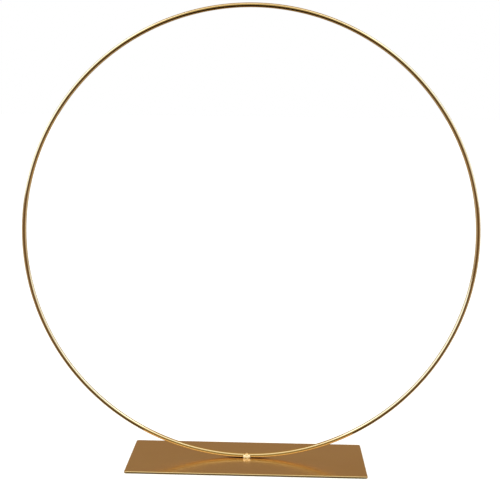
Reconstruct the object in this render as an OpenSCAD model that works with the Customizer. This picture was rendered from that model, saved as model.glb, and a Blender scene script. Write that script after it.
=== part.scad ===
// Table-top wreath frame: a round hoop of wire that stands on a flat rectangular foot.
// The hoop's two ends meet at the bottom, where they are welded to each other and to the foot.
// Origin: centre of the underside of the base plate. +X along the plate, +Y to the rear, +Z up.

/* [Hoop] */
// Outside diameter of the hoop
hoop_d = 400; // [250:10:500]
// Diameter of the wire that the hoop is rolled from
wire_d = 4; // [3:0.5:5]
// Gap between the two sheared ends of the wire, which the seam weld fills
seam_gap = 1; // [0.6:0.1:1.4]

/* [Base plate] */
// Length of the plate, along the hoop
plate_w = 210; // [140:5:280]
// Depth of the plate, across the hoop
plate_d = 80; // [60:5:110]
// Thickness of the sheet that the plate is cut from
plate_t = 2; // [1.5:0.5:4]
// Radius of the plate's four corners
corner_r = 2; // [1:0.5:6]
// Radius that tumbling leaves along the plate's edges
edge_r = 0.5; // [0.2:0.1:0.7]

/* [Welds] */
// Length of the front bead, along the wire
front_bead_w = 8; // [6:0.5:10]
// Length of the rear bead, along the wire
rear_bead_w = 7; // [6:0.5:10]
// How far the seam weld stands proud of the wire
crown = 0.4; // [0.1:0.05:0.6]

/* [Hidden] */
$fn = 64;
wire_r = wire_d / 2;
hoop_r = hoop_d / 2 - wire_r;          // to the centre of the wire
hoop_z = plate_t + hoop_d / 2;         // height of the hoop's centre, with the wire resting on the plate
seam_angle = 2 * asin(seam_gap / 2 / hoop_r);
lobe_r = 0.54 * wire_d;                // radius of a bead's two lobes
lobe_out = 0.58 * wire_d;              // how far their centres stand off the wire's centre
lobe_up = 0.32 * wire_d;               // and how far above the plate
saddle_r = 0.48 * wire_d;              // radius of the lower pool between the two lobes
near_bead = 8;                         // degrees of wire around the seam, longer than any bead
GOLD = [0.62, 0.44, 0.25];
BRIGHT_GOLD = [0.93, 0.80, 0.58];

// A stretch of torus in the hoop's plane, centred on the bottom of the hoop.
module bottom_arc(r, angle) {
    translate([0, 0, hoop_z])
        rotate([90, 0, 0])
            rotate([0, 0, 270 - angle / 2])
                rotate_extrude(angle = angle)
                    translate([hoop_r, 0])
                        circle(r = r);
}

// The wire, open by the width of the seam at the bottom.
module hoop() {
    color(GOLD)
        translate([0, 0, hoop_z])
            rotate([90, 0, 0])
                rotate([0, 0, 270 + seam_angle / 2])
                    rotate_extrude(angle = 360 - seam_angle)
                        translate([hoop_r, 0])
                            circle(r = wire_r);
}

// The weld metal between the wire's two ends, slightly crowned and flush with the plate.
module seam_bead() {
    difference() {
        bottom_arc(wire_r + crown, seam_angle);
        below_plate_top();
    }
}

module seam_weld() {
    color(BRIGHT_GOLD)
        seam_bead();
}

// Everything below the plate's top face.
module below_plate_top() {
    translate([-plate_w, -plate_d, -plate_t])
        cube([2 * plate_w, 2 * plate_d, 2 * plate_t]);
}

// Cross-section of the plate with its four long edges rounded.
module rounded_section(width) {
    for (side = [-1, 1], z = [edge_r, plate_t - edge_r])
        translate([side * (width / 2 - edge_r), z])
            circle(r = edge_r);
    translate([-width / 2 + edge_r, 0])
        square([width - 2 * edge_r, plate_t]);
    translate([-width / 2, edge_r])
        square([width, plate_t - 2 * edge_r]);
}

// One rounded corner of the plate.
module corner() {
    rotate_extrude()
        intersection() {
            rounded_section(2 * corner_r);
            square([corner_r, plate_t]);
        }
}

module base_plate() {
    color(GOLD) {
        rotate([90, 0, 90])
            translate([0, 0, -plate_w / 2 + corner_r])
                linear_extrude(plate_w - 2 * corner_r)
                    rounded_section(plate_d);
        rotate([90, 0, 0])
            translate([0, 0, -plate_d / 2 + corner_r])
                linear_extrude(plate_d - 2 * corner_r)
                    rounded_section(plate_w);
        for (x = [-1, 1], y = [-1, 1])
            translate([x * (plate_w / 2 - corner_r), y * (plate_d / 2 - corner_r), 0])
                corner();
    }
}

// A fillet weld on one side of the wire: two tacks run together, cut to the wire and the plate.
// side is -1 for the front and 1 for the rear.
module side_bead(side, width) {
    reach = width / 2 - lobe_r;
    difference() {
        union() {
            for (x = [-reach, reach])
                translate([x, side * lobe_out, plate_t + lobe_up])
                    sphere(r = lobe_r);
            translate([0, side * (lobe_out - lobe_r + saddle_r), plate_t + lobe_up])
                sphere(r = saddle_r);
        }
        bottom_arc(wire_r, near_bead);
        seam_bead();
        below_plate_top();
        translate([-width, side > 0 ? -wire_d : 0, 0])
            cube([2 * width, wire_d, 4 * wire_d]);
    }
}

module front_weld() {
    color(BRIGHT_GOLD)
        side_bead(-1, front_bead_w);
}

module rear_weld() {
    color(BRIGHT_GOLD)
        side_bead(1, rear_bead_w);
}

hoop();
base_plate();
front_weld();
rear_weld();
seam_weld();
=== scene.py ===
"""The looks of the wreath frame: a gold wire hoop that is welded upright on a flat foot."""
import math

import bmesh
import bpy
from mathutils import Matrix, Vector, noise


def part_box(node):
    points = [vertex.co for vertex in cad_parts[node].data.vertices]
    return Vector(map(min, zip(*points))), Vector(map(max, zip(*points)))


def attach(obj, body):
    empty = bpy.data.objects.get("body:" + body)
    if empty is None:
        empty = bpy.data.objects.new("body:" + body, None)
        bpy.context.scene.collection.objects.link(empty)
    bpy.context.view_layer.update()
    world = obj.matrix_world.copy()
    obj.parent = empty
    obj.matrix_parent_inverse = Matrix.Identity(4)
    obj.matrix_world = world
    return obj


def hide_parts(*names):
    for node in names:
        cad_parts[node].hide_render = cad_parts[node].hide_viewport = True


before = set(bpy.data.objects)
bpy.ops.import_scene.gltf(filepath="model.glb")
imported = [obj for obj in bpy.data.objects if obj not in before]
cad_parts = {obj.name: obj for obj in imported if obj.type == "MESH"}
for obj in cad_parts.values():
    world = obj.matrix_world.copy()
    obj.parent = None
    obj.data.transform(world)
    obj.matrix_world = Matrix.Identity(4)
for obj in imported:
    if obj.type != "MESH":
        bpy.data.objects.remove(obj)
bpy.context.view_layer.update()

MM = 0.001
TURN = 2 * math.pi

# ---------------------------------------------------------------- sizes, read from the frame
PLATE_LO, PLATE_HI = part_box("base_plate")
HOOP_LO, HOOP_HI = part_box("hoop")
FRONT_LO, FRONT_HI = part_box("front_weld")
REAR_LO, REAR_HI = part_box("rear_weld")
SEAM_LO, SEAM_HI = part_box("seam_weld")

PLATE_TOP = PLATE_HI.z
WIRE_R = (HOOP_HI.y - HOOP_LO.y) / 2
HOOP_OUTER_R = (HOOP_HI.z - PLATE_TOP) / 2
HOOP_R = HOOP_OUTER_R - WIRE_R
HOOP_CENTRE = Vector((0, 0, HOOP_HI.z - HOOP_OUTER_R))
SEAM_HALF = (SEAM_HI.x - SEAM_LO.x) / 2
SEAM_R = SEAM_HI.z - (PLATE_TOP + WIRE_R)


# ---------------------------------------------------------------- node helpers
# A Mix node has sockets for every data type. These are the factor and the two colours, and the result.
MIX_INPUTS = (0, 6, 7)
MIX_RESULT = 2


def new_material(name):
    """A material with a Principled shader: the material, its node tree and the shader."""
    material = bpy.data.materials.new(name)
    material.use_nodes = True
    tree = material.node_tree
    shader = tree.nodes["Principled BSDF"]
    return material, tree, shader


def add(tree, kind, inputs=None, **settings):
    """A node of that kind, with its settings, and with its inputs set to values or linked to sockets."""
    node = tree.nodes.new(kind)
    for key, value in settings.items():
        setattr(node, key, value)
    for key, value in (inputs or {}).items():
        if isinstance(value, bpy.types.NodeSocket):
            tree.links.new(value, node.inputs[key])
        else:
            node.inputs[key].default_value = value
    return node


def noise_value(tree, vector, scale, detail=2.0, roughness=0.5):
    """A noise texture's grey value."""
    node = add(tree, "ShaderNodeTexNoise", {
        "Vector": vector, "Scale": scale, "Detail": detail, "Roughness": roughness})
    return node.outputs["Fac"]


def remap(tree, value, low, high, to_low, to_high, ease="LINEAR"):
    """The value with low..high stretched to to_low..to_high, and held at both ends."""
    node = add(tree, "ShaderNodeMapRange", {
        "Value": value, "From Min": low, "From Max": high, "To Min": to_low, "To Max": to_high},
        interpolation_type=ease)
    return node.outputs["Result"]


def mix_colour(tree, factor, a, b):
    """Colour a turning into colour b as the factor goes from 0 to 1."""
    node = add(tree, "ShaderNodeMix", data_type="RGBA")
    for index, value in zip(MIX_INPUTS, (factor, a, b)):
        if isinstance(value, bpy.types.NodeSocket):
            tree.links.new(value, node.inputs[index])
        else:
            node.inputs[index].default_value = value
    return node.outputs[MIX_RESULT]


def stretch(tree, vector, scale):
    """The vector scaled by axis, which draws noise out into lines along the axes with small factors."""
    node = add(tree, "ShaderNodeMapping", {"Vector": vector, "Scale": scale})
    return node.outputs["Vector"]


def bump(tree, height, distance, strength=1.0, before=None):
    """A normal bent by the height, on top of the bump before it."""
    inputs = {"Height": height, "Distance": distance, "Strength": strength}
    if before is not None:
        inputs["Normal"] = before
    return add(tree, "ShaderNodeBump", inputs).outputs["Normal"]


# ---------------------------------------------------------------- materials
GOLD = (0.885, 0.65, 0.355, 1)
GOLD_PALE = (0.91, 0.71, 0.45, 1)
GOLD_BROWN = (0.86, 0.61, 0.32, 1)
GOLD_BEAD = (0.95, 0.77, 0.49, 1)
# The colour of the painted shade where the wire meets the foot.
PAINTED_SHADE = (0.34, 0.17, 0.06, 1)

# Painted shade where the wire meets the foot, standing for the contact shadow and the dark reflection of the
# wire's underside: its reach along and across the foot, and up the wire.
PAINTED_SHADE_LENGTH = 28 * MM
PAINTED_SHADE_WIDTH = 3.4 * MM
PAINTED_SHADE_HEIGHT = 0.6 * MM
# The foot's upper edge: the radius of its roll, and how far below the top the paler gold of the painted
# highlight on the edge ends.
ROLL_R = 0.9 * MM
PAINTED_HIGHLIGHT_TOP = 0.1 * MM


def wire_material():
    """Gold-plated drawn wire: glossy, with fine die lines along it and a clear lacquer."""
    material, tree, shader = new_material("gold_wire")
    along = add(tree, "ShaderNodeUVMap", uv_map="along_wire").outputs["UV"]
    place = add(tree, "ShaderNodeTexCoord").outputs["Object"]
    cloud = noise_value(tree, place, 28, detail=3)
    colour = mix_colour(tree, remap(tree, cloud, 0.35, 0.65, 0, 1), GOLD, GOLD_BROWN)
    # Painted shade: the wire is darkened towards the shade colour just above the foot, where it touches it.
    height = add(tree, "ShaderNodeSeparateXYZ", {"Vector": place}).outputs["Z"]
    clear = remap(tree, height, PLATE_TOP, PLATE_TOP + PAINTED_SHADE_HEIGHT, 0, 1)
    colour = mix_colour(tree, clear, PAINTED_SHADE, colour)
    lines = noise_value(tree, stretch(tree, along, (6, 90, 1)), 1.0, detail=3)
    grain = noise_value(tree, place, 2600, detail=2)
    tree.links.new(colour, shader.inputs["Base Color"])
    tree.links.new(remap(tree, lines, 0.3, 0.7, 0.08, 0.15), shader.inputs["Roughness"])
    die = bump(tree, lines, 0.02 * MM, 0.5)
    tree.links.new(bump(tree, grain, 0.004 * MM, 0.4, die), shader.inputs["Normal"])
    shader.inputs["Metallic"].default_value = 1.0
    shader.inputs["Coat Weight"].default_value = 0.1
    shader.inputs["Coat Roughness"].default_value = 0.05
    return material


def sheet_material(name, base, worn, rough_low, rough_high, lines):
    """Gold-plated sheet steel: satin under clear lacquer, with cloudy patches and faint rolling lines."""
    material, tree, shader = new_material(name)
    place = add(tree, "ShaderNodeTexCoord").outputs["Object"]
    cloud = noise_value(tree, stretch(tree, place, (14, 26, 26)), 1.0, detail=4)
    colour = mix_colour(tree, remap(tree, cloud, 0.35, 0.65, 0, 1), base, worn)
    # Painted shade and painted dark reflection: the foot is darkened in a long patch along the wire's
    # contact.
    painted_shade_place = stretch(tree, place, (1 / PAINTED_SHADE_LENGTH, 1 / PAINTED_SHADE_WIDTH, 0))
    off = add(tree, "ShaderNodeVectorMath", {"Vector": painted_shade_place}, operation="LENGTH").outputs["Value"]
    clear = remap(tree, off, 0.3, 1, 0, 1, "SMOOTHSTEP")
    colour = mix_colour(tree, clear, PAINTED_SHADE, colour)
    height = add(tree, "ShaderNodeSeparateXYZ", {"Vector": place}).outputs["Z"]
    # Painted highlight: the rolled upper edge is turned to a paler gold.
    painted_edge_highlight = remap(tree, height, PLATE_TOP - ROLL_R, PLATE_TOP - PAINTED_HIGHLIGHT_TOP, 1, 0)
    colour = mix_colour(tree, painted_edge_highlight, colour, GOLD_PALE)
    rolling = noise_value(tree, stretch(tree, place, (40, 1800, 400)), 1.0, detail=3)
    peel = noise_value(tree, place, 700, detail=2)
    rough = remap(tree, noise_value(tree, place, 55, detail=4), 0.3, 0.7, rough_low, rough_high)
    tree.links.new(colour, shader.inputs["Base Color"])
    tree.links.new(rough, shader.inputs["Roughness"])
    first = bump(tree, rolling, 0.015 * MM, lines)
    tree.links.new(bump(tree, peel, 0.01 * MM, 0.35, first), shader.inputs["Normal"])
    shader.inputs["Metallic"].default_value = 1.0
    shader.inputs["Coat Weight"].default_value = 0.6
    shader.inputs["Coat Roughness"].default_value = 0.06
    return material


def bead_material(name, base, worn):
    """Plated weld metal with frozen ripples and pits."""
    material, tree, shader = new_material(name)
    place = add(tree, "ShaderNodeTexCoord").outputs["Object"]
    cloud = noise_value(tree, place, 600, detail=3)
    colour = mix_colour(tree, remap(tree, cloud, 0.3, 0.7, 0, 1), base, worn)
    grain = noise_value(tree, place, 5200, detail=3)
    tree.links.new(colour, shader.inputs["Base Color"])
    tree.links.new(remap(tree, grain, 0.3, 0.7, 0.32, 0.40), shader.inputs["Roughness"])
    tree.links.new(bump(tree, grain, 0.03 * MM, 0.5), shader.inputs["Normal"])
    shader.inputs["Metallic"].default_value = 1.0
    shader.inputs["Coat Weight"].default_value = 0.2
    return material


# ---------------------------------------------------------------- mesh helpers
def new_piece(name, mesh_or_bmesh, *materials):
    """A shown object made from the mesh, smooth shaded."""
    if isinstance(mesh_or_bmesh, bmesh.types.BMesh):
        mesh = bpy.data.meshes.new(name)
        mesh_or_bmesh.to_mesh(mesh)
        mesh_or_bmesh.free()
    else:
        mesh = mesh_or_bmesh
    mesh.polygons.foreach_set("use_smooth", [True] * len(mesh.polygons))
    piece = bpy.data.objects.new(name, mesh)
    bpy.context.scene.collection.objects.link(piece)
    for material in materials:
        mesh.materials.append(material)
    return piece


def stands_for(piece, node):
    """Puts the piece on the part's one body in place of its CAD node."""
    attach(piece, "root")
    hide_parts(node)


# ---------------------------------------------------------------- the hoop
RING_STEPS = 900
WIRE_SIDES = 40
END_ROUND = 0.35 * MM
END_STEPS = 4
UV_LENGTH = 10 * MM


def wire_rings():
    """Each ring of the wire: its angle from the bottom and its radius, with a rounded edge at both ends."""
    start = SEAM_HALF / HOOP_R
    end = []
    for i in range(END_STEPS, -1, -1):
        a = i / END_STEPS * TURN / 4
        angle = start + END_ROUND * (1 - math.sin(a)) / HOOP_R
        end.append((angle, WIRE_R - END_ROUND * (1 - math.cos(a))))
    first, last = end[-1][0], TURN - end[-1][0]
    middle = [(first + (last - first) * i / RING_STEPS, WIRE_R) for i in range(1, RING_STEPS)]
    return end + middle + [(TURN - angle, radius) for angle, radius in reversed(end)]


def make_hoop(material):
    """The wire, swept round from one end to the other, with its length and girth as UV."""
    bm = bmesh.new()
    uv = bm.loops.layers.uv.new("along_wire")
    loops = []
    rings = wire_rings()
    for angle, radius in rings:
        out = Vector((math.sin(angle), 0, -math.cos(angle)))
        loop = []
        for j in range(WIRE_SIDES):
            b = TURN * j / WIRE_SIDES
            place = HOOP_CENTRE + out * (HOOP_R + radius * math.cos(b))
            place.y += radius * math.sin(b)
            loop.append(bm.verts.new(place))
        loops.append(loop)
    for i in range(len(loops) - 1):
        for j in range(WIRE_SIDES):
            k = (j + 1) % WIRE_SIDES
            face = bm.faces.new((loops[i][j], loops[i][k], loops[i + 1][k], loops[i + 1][j]))
            around = (j, j + 1, j + 1, j)
            length = (i, i, i + 1, i + 1)
            for corner, a, n in zip(face.loops, around, length):
                corner[uv].uv = (rings[n][0] * HOOP_R / UV_LENGTH, a / WIRE_SIDES)
    bm.faces.new(loops[0])
    bm.faces.new(reversed(loops[-1]))
    bmesh.ops.recalc_face_normals(bm, faces=bm.faces)
    piece = new_piece("hoop_wire", bm, material)
    stands_for(piece, "hoop")
    return piece


# ---------------------------------------------------------------- the foot
CORNER_R = 2.0 * MM
CORNER_STEPS = 8
EDGE_STEP = 1.5 * MM

# The inner rectangle, a corner radius inside the plate's edges, is a lattice of squares.
INNER_X, INNER_Y = PLATE_HI.x - CORNER_R, PLATE_HI.y - CORNER_R
COLUMNS, ROWS = round(2 * INNER_X / EDGE_STEP), round(2 * INNER_Y / EDGE_STEP)


def lattice_place(i, j):
    """The place of a lattice point on the ground."""
    return Vector((INNER_X * (2 * i / COLUMNS - 1), INNER_Y * (2 * j / ROWS - 1), 0))


def outline():
    """The plate's outline, front side first: lattice points on its rim, and the directions to the edge."""
    sides = (
        [(i, 0) for i in range(COLUMNS)],
        [(COLUMNS, j) for j in range(ROWS)],
        [(COLUMNS - i, ROWS) for i in range(COLUMNS)],
        [(0, ROWS - j) for j in range(ROWS)],
    )
    points = []
    for n, cells in enumerate(sides):
        corner, following = cells[0], sides[(n + 1) % len(sides)][0]
        for step in range(1 - CORNER_STEPS, 1):
            a = TURN / 4 * (n - 1 + step / CORNER_STEPS)
            points.append((corner, Vector((math.cos(a), math.sin(a), 0))))
        square = points[-1][1]
        points += [(cell, square) for cell in cells[1:] + [following]]
    return points


# The sheared edge: a rounded burr below, a torn band up to BAND_END of the sheet's thickness, and the roll.
BURR_R = 0.30 * MM
BURR_STEPS = 4
BAND_END = 0.55
BAND_STEPS = 6
BAND_INSET = 0.02 * MM
TEAR_DEPTH = 0.05 * MM
TEAR_GRAIN = 900
TEAR_GRAIN_UP = 2500
ROLL_STEPS = 8
FLAT_EDGE = 0.4 * MM
FLAT, TORN, ROLLED = range(3)


def edge_profile():
    """The sheared edge from the underside up: inset, height, how torn it is and its zone."""
    rows = [(BURR_R + FLAT_EDGE, 0, 0, FLAT)]
    for i in range(BURR_STEPS + 1):
        a = TURN / 4 * i / BURR_STEPS
        rows.append((BURR_R * (1 - math.sin(a)), BURR_R * (1 - math.cos(a)), 0.3 * i / BURR_STEPS, TORN))
    cut_high = PLATE_TOP * BAND_END
    for i in range(1, BAND_STEPS):
        rows.append((BAND_INSET, BURR_R + (cut_high - BURR_R) * i / BAND_STEPS, 1, TORN))
    rows.append((0, cut_high, 0.4, TORN))
    for i in range(ROLL_STEPS + 1):
        a = TURN / 4 * i / ROLL_STEPS
        rows.append((ROLL_R * (1 - math.cos(a)), PLATE_TOP - ROLL_R + ROLL_R * math.sin(a), 0, ROLLED))
    rows.append((ROLL_R + FLAT_EDGE, PLATE_TOP, 0, ROLLED))
    return rows


def add_sheet_face(bm, ring, points, height):
    """Fills a ring at that height with the lattice of squares and a strip round it."""
    lift = Vector((0, 0, height))
    grid = [[bm.verts.new(lattice_place(i, j) + lift) for j in range(ROWS + 1)] for i in range(COLUMNS + 1)]
    for i in range(COLUMNS):
        for j in range(ROWS):
            bm.faces.new((grid[i][j], grid[i + 1][j], grid[i + 1][j + 1], grid[i][j + 1]))
    for n in range(len(points)):
        m = (n + 1) % len(points)
        (a, b), (c, d) = points[n][0], points[m][0]
        inner, after = grid[a][b], grid[c][d]
        corners = (ring[n], ring[m], after) if inner is after else (ring[n], ring[m], after, inner)
        bm.faces.new(corners)


def make_plate(top, edge):
    """The foot: a sheet with a rolled upper edge and a sheared, slightly torn lower one."""
    bm = bmesh.new()
    points = outline()
    rows = edge_profile()
    rings = []
    for inset, height, tear, _ in rows:
        ring = []
        for (i, j), normal in points:
            place = lattice_place(i, j)
            spot = (place + normal * CORNER_R) * TEAR_GRAIN + Vector((0, 0, height * TEAR_GRAIN_UP))
            bite = tear * TEAR_DEPTH * (0.5 + 0.5 * noise.noise(spot))
            rim = place + normal * (CORNER_R - inset - bite)
            ring.append(bm.verts.new((rim.x, rim.y, height)))
        rings.append(ring)
    for i in range(len(rings) - 1):
        zone = max(rows[i][3], rows[i + 1][3])
        for j in range(len(points)):
            k = (j + 1) % len(points)
            face = bm.faces.new((rings[i][j], rings[i][k], rings[i + 1][k], rings[i + 1][j]))
            face.material_index = 1 if zone == TORN else 0
    add_sheet_face(bm, rings[0], points, 0)
    add_sheet_face(bm, rings[-1], points, PLATE_TOP)
    bmesh.ops.recalc_face_normals(bm, faces=bm.faces)
    piece = new_piece("foot_plate", bm, top, edge)
    stands_for(piece, "base_plate")
    return piece


# ---------------------------------------------------------------- the welds
VOXEL = 0.11 * MM
TOE_HEIGHT = 0.7 * MM
RIPPLE_PITCH = 1.1 * MM
RIPPLE_DEPTH = 0.05 * MM


def blob(bm, centre, radii):
    """Adds one lump of weld metal to the bmesh."""
    place = Matrix.Translation(centre) @ Matrix.Diagonal((*radii, 1))
    bmesh.ops.create_icosphere(bm, subdivisions=4, radius=1, matrix=place)


def fused(name, bm):
    """The lumps melted into one skin: a fine voxel remesh, then smoothed."""
    mesh = bpy.data.meshes.new(name)
    bm.to_mesh(mesh)
    bm.free()
    temp = bpy.data.objects.new(name + "_lumps", mesh)
    bpy.context.scene.collection.objects.link(temp)
    remesh = temp.modifiers.new("melt", "REMESH")
    remesh.mode = "VOXEL"
    remesh.voxel_size = VOXEL
    smooth = temp.modifiers.new("smooth", "SMOOTH")
    smooth.factor = 0.6
    smooth.iterations = 12
    evaluated = temp.evaluated_get(bpy.context.evaluated_depsgraph_get())
    result = bpy.data.meshes.new_from_object(evaluated)
    bpy.data.objects.remove(temp)
    return result


def trimmed(mesh, floor_z):
    """The mesh cut flat at the given height and closed again."""
    bm = bmesh.new()
    bm.from_mesh(mesh)
    cut = bmesh.ops.bisect_plane(
        bm, geom=bm.verts[:] + bm.edges[:] + bm.faces[:], dist=1e-7,
        plane_co=(0, 0, floor_z), plane_no=(0, 0, 1), clear_inner=True)
    rim = [e for e in cut["geom_cut"] if isinstance(e, bmesh.types.BMEdge)]
    bmesh.ops.edgeloop_fill(bm, edges=rim)
    bmesh.ops.recalc_face_normals(bm, faces=bm.faces)
    return bm


def ripple(bm, centre, low, high):
    """Frozen ripples and dimples on a bead, kept inside the box from low to high."""
    bm.normal_update()
    moves = []
    for v in bm.verts:
        away = v.co - centre
        rings = math.sin((away.x * 0.35 + away.z) / RIPPLE_PITCH * TURN + 2 * noise.noise(v.co * 900))
        lumps = noise.noise(v.co * 1400 + Vector((3, 1, 7)))
        moves.append(v.co + v.normal * RIPPLE_DEPTH * (0.5 * rings + 0.9 * lumps))
    for v, place in zip(bm.verts, moves):
        for axis in range(3):
            place[axis] = min(max(place[axis], low[axis]), high[axis])
        v.co = place


def make_bead(name, node, side, lo, hi, spread, middle, material):
    """A fillet weld in the box from lo to hi: two tacks on a shared core, with a low toe on the foot.

    Spread is how far the tacks stand apart, and middle how high the core is between them."""
    half = (hi.x - lo.x) / 2
    reach = max(abs(lo.y), abs(hi.y))
    top = hi.z - PLATE_TOP
    bm = bmesh.new()
    core = Vector((0, side * reach * 0.22, PLATE_TOP + top * 0.12))
    blob(bm, core, (half * 0.80, reach * 0.56, top * middle))
    toe = Vector((0, side * reach * 0.30, PLATE_TOP))
    blob(bm, toe, (half * 0.93, reach * 0.50, TOE_HEIGHT))
    for x, size in ((-spread, 1.0), (spread * 0.94, 0.96)):
        tack = Vector((x * half, side * reach * 0.25, PLATE_TOP + top * 0.18))
        blob(bm, tack, (half * 0.42 * size, reach * 0.61 * size, top * 0.82))
    skin = trimmed(fused(name, bm), PLATE_TOP)
    ripple(skin, Vector((0, side * reach / 2, PLATE_TOP)), lo, hi)
    piece = new_piece(name, skin, material)
    stands_for(piece, node)
    return piece


SEAM_SPREAD = 2.4
SEAM_STEPS = 14
SEAM_SIDES = 48
SEAM_SINK = 0.05 * MM


def make_seam(material):
    """The weld metal round the wire's closed ends: an uneven crowned band that runs out on to the wire."""
    half = SEAM_HALF * SEAM_SPREAD
    lowest = WIRE_R - SEAM_SINK
    crown = SEAM_R - WIRE_R - SEAM_SINK
    axis = Vector((0, 0, PLATE_TOP + WIRE_R))
    bm = bmesh.new()
    rings = []
    for i in range(SEAM_STEPS + 1):
        u = -1 + 2 * i / SEAM_STEPS
        arch = math.cos(u * TURN / 4) ** 2
        ring = []
        for j in range(SEAM_SIDES):
            b = TURN * j / SEAM_SIDES
            uneven = 0.82 + 0.18 * noise.noise(Vector((u * 2, math.cos(b) * 1.6, math.sin(b) * 1.6)))
            r = lowest + crown * arch * uneven
            place = axis + Vector((u * half, math.sin(b) * r, math.cos(b) * r))
            place.z = max(place.z, PLATE_TOP)
            ring.append(bm.verts.new(place))
        rings.append(ring)
    for i in range(SEAM_STEPS):
        for j in range(SEAM_SIDES):
            k = (j + 1) % SEAM_SIDES
            bm.faces.new((rings[i][j], rings[i][k], rings[i + 1][k], rings[i + 1][j]))
    bm.faces.new(reversed(rings[0]))
    bm.faces.new(rings[-1])
    bmesh.ops.recalc_face_normals(bm, faces=bm.faces)
    piece = new_piece("seam_bead", bm, material)
    stands_for(piece, "seam_weld")
    return piece


# ---------------------------------------------------------------- the studio
FLOOR_R = 30


def pale_floor():
    """A wide pale floor. The gold doesn't mirror it: it mirrors the panels of the room."""
    bm = bmesh.new()
    bmesh.ops.create_circle(bm, cap_ends=True, segments=96, radius=FLOOR_R)
    mesh = bpy.data.meshes.new("floor")
    bm.to_mesh(mesh)
    bm.free()
    material, _, shader = new_material("pale_floor")
    shader.inputs["Base Color"].default_value = (0.5, 0.5, 0.5, 1)
    shader.inputs["Emission Color"].default_value = (1, 1, 1, 1)
    shader.inputs["Emission Strength"].default_value = 0.55
    shader.inputs["Roughness"].default_value = 0.9
    shader.inputs["Specular IOR Level"].default_value = 0.0
    floor = bpy.data.objects.new("floor", mesh)
    floor.data.materials.append(material)
    bpy.context.scene.collection.objects.link(floor)
    floor.visible_glossy = False


# The tones of the light, chosen to come near the colours of the fit described below.
AMBER = Vector((1.0, 0.66, 0.37))
OLIVE = Vector((1.0, 0.71, 0.20))
STRAW = Vector((1.0, 0.92, 0.48))
WARM = Vector((1.0, 0.84, 0.60))
WHITE = Vector((0.95, 1.0, 1.0))
COOL = Vector((0.62, 1.02, 1.60))
CREAM = Vector((0.98, 1.0, 1.02))

# Soft panels of light in the room: azimuth and half-width (0 behind the object, 90 to its right),
# lowest and highest elevation, all in degrees, then the panel's brightness and its tone. The ceiling,
# back_high and every wall but back_wall were set one by one. The other panels come from a least-squares fit
# of their colours to the photograph, whose result was then rounded, merged and adjusted.
PANELS = {
    "back_wall": (0, 60, 2, 28, 0.34, AMBER),
    "back_high": (0, 60, 28, 48, 0.28, OLIVE),
    "back_lamp": (0, 75, 48, 76, 0.57, OLIVE),
    "back_low": (0, 60, -90, 2, 0.24, OLIVE),
    "right_wall": (95, 35, 2, 60, 0.50, WARM),
    "right_low": (90, 42, -90, 2, 0.45, WARM),
    "front_right_wall": (140, 10, 2, 48, 0.50, WARM),
    "front_low": (178, 28, 2, 22, 0.34, STRAW),
    "front_high": (180, 30, 22, 48, 0.64, STRAW),
    "front_lamp": (180, 75, 48, 76, 1.35, WHITE),
    "front_horizon": (180, 50, -20, 2, 0.15, AMBER),
    "front_left_wall": (218, 12, 2, 48, 0.50, WARM),
    "left_wall": (265, 35, 2, 60, 0.50, WARM),
    "left_low": (270, 42, -90, 2, 0.40, WARM),
    "ceiling": (0, 200, 76, 120, 0.42, WARM),
}
# Soft boxes that light only the wire or the welds, so that the foot keeps the room's tone: the same
# four angles and the brightness. The wire's brightnesses come from the same fit, rounded and adjusted.
WIRE_BOXES = {
    "right_box": (84, 24, 2, 60, 1.10),
    "right_box_low": (84, 24, -20, 2, 0.32),
    "front_right_box": (128, 20, 22, 60, 0.85),
    "front_right_low": (128, 20, 2, 22, 0.38),
    "front_left_low": (216, 10, 0, 14, 0.42),
    "left_front_box": (236, 16, 2, 60, 1.15),
    "left_box": (276, 24, 2, 60, 1.10),
    "left_box_low": (276, 24, -20, 2, 0.22),
}
WELD_BOXES = WIRE_BOXES | {"front_box": (180, 24, -8, 22, 0.75)}
BOX_DISTANCE = 5.0
SOFT_EDGE = 6


def panel_mask(tree, azimuth, elevation, middle, half, low, high):
    """How much of a panel is seen in a direction: 1 inside it, fading to 0 over its soft edge."""
    off = add(tree, "ShaderNodeMath", {0: azimuth, 1: middle}, operation="SUBTRACT").outputs[0]
    off = add(tree, "ShaderNodeMath", {0: off, 1: 180.0, 2: -180.0}, operation="WRAP").outputs[0]
    off = add(tree, "ShaderNodeMath", {0: off}, operation="ABSOLUTE").outputs[0]
    inside = remap(tree, off, half - SOFT_EDGE, half + SOFT_EDGE, 1, 0, "SMOOTHSTEP")
    above = remap(tree, elevation, low - SOFT_EDGE / 2, low + SOFT_EDGE / 2, 0, 1, "SMOOTHSTEP")
    below = remap(tree, elevation, high - SOFT_EDGE, high + SOFT_EDGE, 1, 0, "SMOOTHSTEP")
    band = add(tree, "ShaderNodeMath", {0: above, 1: below}, operation="MULTIPLY").outputs[0]
    return add(tree, "ShaderNodeMath", {0: inside, 1: band}, operation="MULTIPLY").outputs[0]


def degrees(tree, kind, *values):
    """The angle, in degrees, that a Math node of that kind gives for the values."""
    angle = add(tree, "ShaderNodeMath", dict(enumerate(values)), operation=kind).outputs[0]
    return add(tree, "ShaderNodeMath", {0: angle}, operation="DEGREES").outputs[0]


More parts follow.
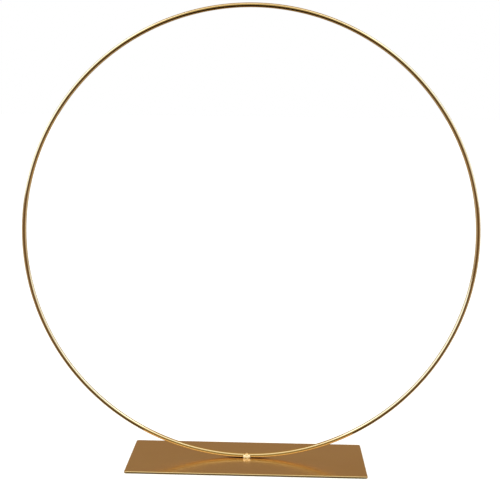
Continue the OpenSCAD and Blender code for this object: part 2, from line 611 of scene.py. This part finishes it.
def room_light():
    """White behind the object for the camera, and a room of soft panels for everything else."""
    world = bpy.data.worlds.new("studio")
    bpy.context.scene.world = world
    world.use_nodes = True
    tree = world.node_tree
    tree.nodes.clear()
    direction = add(tree, "ShaderNodeTexCoord").outputs["Generated"]
    parts = add(tree, "ShaderNodeSeparateXYZ", {"Vector": direction}).outputs
    azimuth = degrees(tree, "ARCTAN2", parts["X"], parts["Y"])
    elevation = degrees(tree, "ARCSINE", parts["Z"])
    room = None
    for name, (middle, half, low, high, brightness, tone) in PANELS.items():
        mask = panel_mask(tree, azimuth, elevation, middle, half, low, high)
        panel = add(tree, "ShaderNodeBackground", {
            "Color": (*tone * brightness, 1), "Strength": mask}, name=name)
        if room is None:
            room = panel.outputs[0]
        else:
            room = add(tree, "ShaderNodeAddShader", {0: room, 1: panel.outputs[0]}).outputs[0]
    white = add(tree, "ShaderNodeBackground", {"Color": (1, 1, 1, 1), "Strength": 1.0})
    seen = add(tree, "ShaderNodeLightPath").outputs["Is Camera Ray"]
    both = add(tree, "ShaderNodeMixShader", {0: seen, 1: room, 2: white.outputs[0]})
    add(tree, "ShaderNodeOutputWorld", {"Surface": both.outputs[0]})


def soft_boxes(prefix, pieces, boxes, tone):
    """Boxes of that tone round the middle of the hoop, as lamps that light the pieces and nothing else."""
    lit = bpy.data.collections.new(prefix + "_lit")
    for piece in pieces:
        lit.objects.link(piece)
    for name, (azimuth, half, low, high, brightness) in boxes.items():
        light = bpy.data.lights.new(f"{prefix}_{name}", "AREA")
        light.shape = "RECTANGLE"
        light.size = 2 * BOX_DISTANCE * math.tan(math.radians(half))
        light.size_y = 2 * BOX_DISTANCE * math.tan(math.radians((high - low) / 2))
        light.color = tone * brightness
        light.energy = math.pi * light.size * light.size_y
        lamp = bpy.data.objects.new(light.name, light)
        bpy.context.scene.collection.objects.link(lamp)
        lamp.matrix_world = (
            Matrix.Translation(HOOP_CENTRE)
            @ Matrix.Rotation(-math.radians(azimuth), 4, "Z")
            @ Matrix.Rotation(TURN / 4 + math.radians((low + high) / 2), 4, "X")
            @ Matrix.Translation((0, 0, -BOX_DISTANCE)) @ Matrix.Rotation(TURN / 2, 4, "Y"))
        lamp.visible_camera = False
        lamp.light_linking.receiver_collection = lit


def floor_light():
    """A wide even light from above, which whitens the floor and leaves a soft shadow by the foot.

    The gold doesn't mirror it."""
    light = bpy.data.lights.new("floor_wash", "SUN")
    light.energy = 2.6
    light.angle = math.radians(120)
    lamp = bpy.data.objects.new("floor_wash", light)
    bpy.context.scene.collection.objects.link(lamp)
    lamp.visible_glossy = False
    lamp.visible_camera = False


# The camera's place in metres, and its yaw, pitch and roll in degrees, rounded from a fit to the photograph.
CAMERA_PLACE = (0.021, -0.833, 0.314)
CAMERA_TURN = (1.43, -7.82, 0.77)
LENS_MM = 69.4


def make_camera():
    """The photograph's viewpoint: a little right of the middle and looking slightly down."""
    camera = bpy.data.cameras.new("camera")
    camera.lens = LENS_MM
    camera.sensor_width = 36
    camera.clip_start = 0.01
    holder = bpy.data.objects.new("camera", camera)
    bpy.context.scene.collection.objects.link(holder)
    yaw, pitch, roll = (math.radians(a) for a in CAMERA_TURN)
    holder.matrix_world = (
        Matrix.Translation(CAMERA_PLACE) @ Matrix.Rotation(yaw, 4, "Z")
        @ Matrix.Rotation(TURN / 4 + pitch, 4, "X") @ Matrix.Rotation(roll, 4, "Z"))
    bpy.context.scene.camera = holder


# ---------------------------------------------------------------- the scene
hoop = make_hoop(wire_material())
make_plate(
    sheet_material("gold_sheet", GOLD, GOLD_BROWN, 0.20, 0.27, 0.5),
    sheet_material("gold_cut_edge", GOLD, GOLD_PALE, 0.38, 0.50, 1.0))
bead = bead_material("gold_weld", GOLD_BEAD, GOLD_PALE)
front_bead = make_bead("front_bead", "front_weld", -1, FRONT_LO, FRONT_HI, 0.50, 0.66, bead)
rear_bead = make_bead("rear_bead", "rear_weld", 1, REAR_LO, REAR_HI, 0.38, 0.80, bead)
seam_bead = make_seam(bead_material("gold_seam", GOLD, GOLD_BROWN))

pale_floor()
room_light()
soft_boxes("wire", (hoop,), WIRE_BOXES, COOL)
soft_boxes("weld", (front_bead, rear_bead, seam_bead), WELD_BOXES, CREAM)
floor_light()
make_camera()
bpy.context.scene.view_settings.view_transform = "Standard"
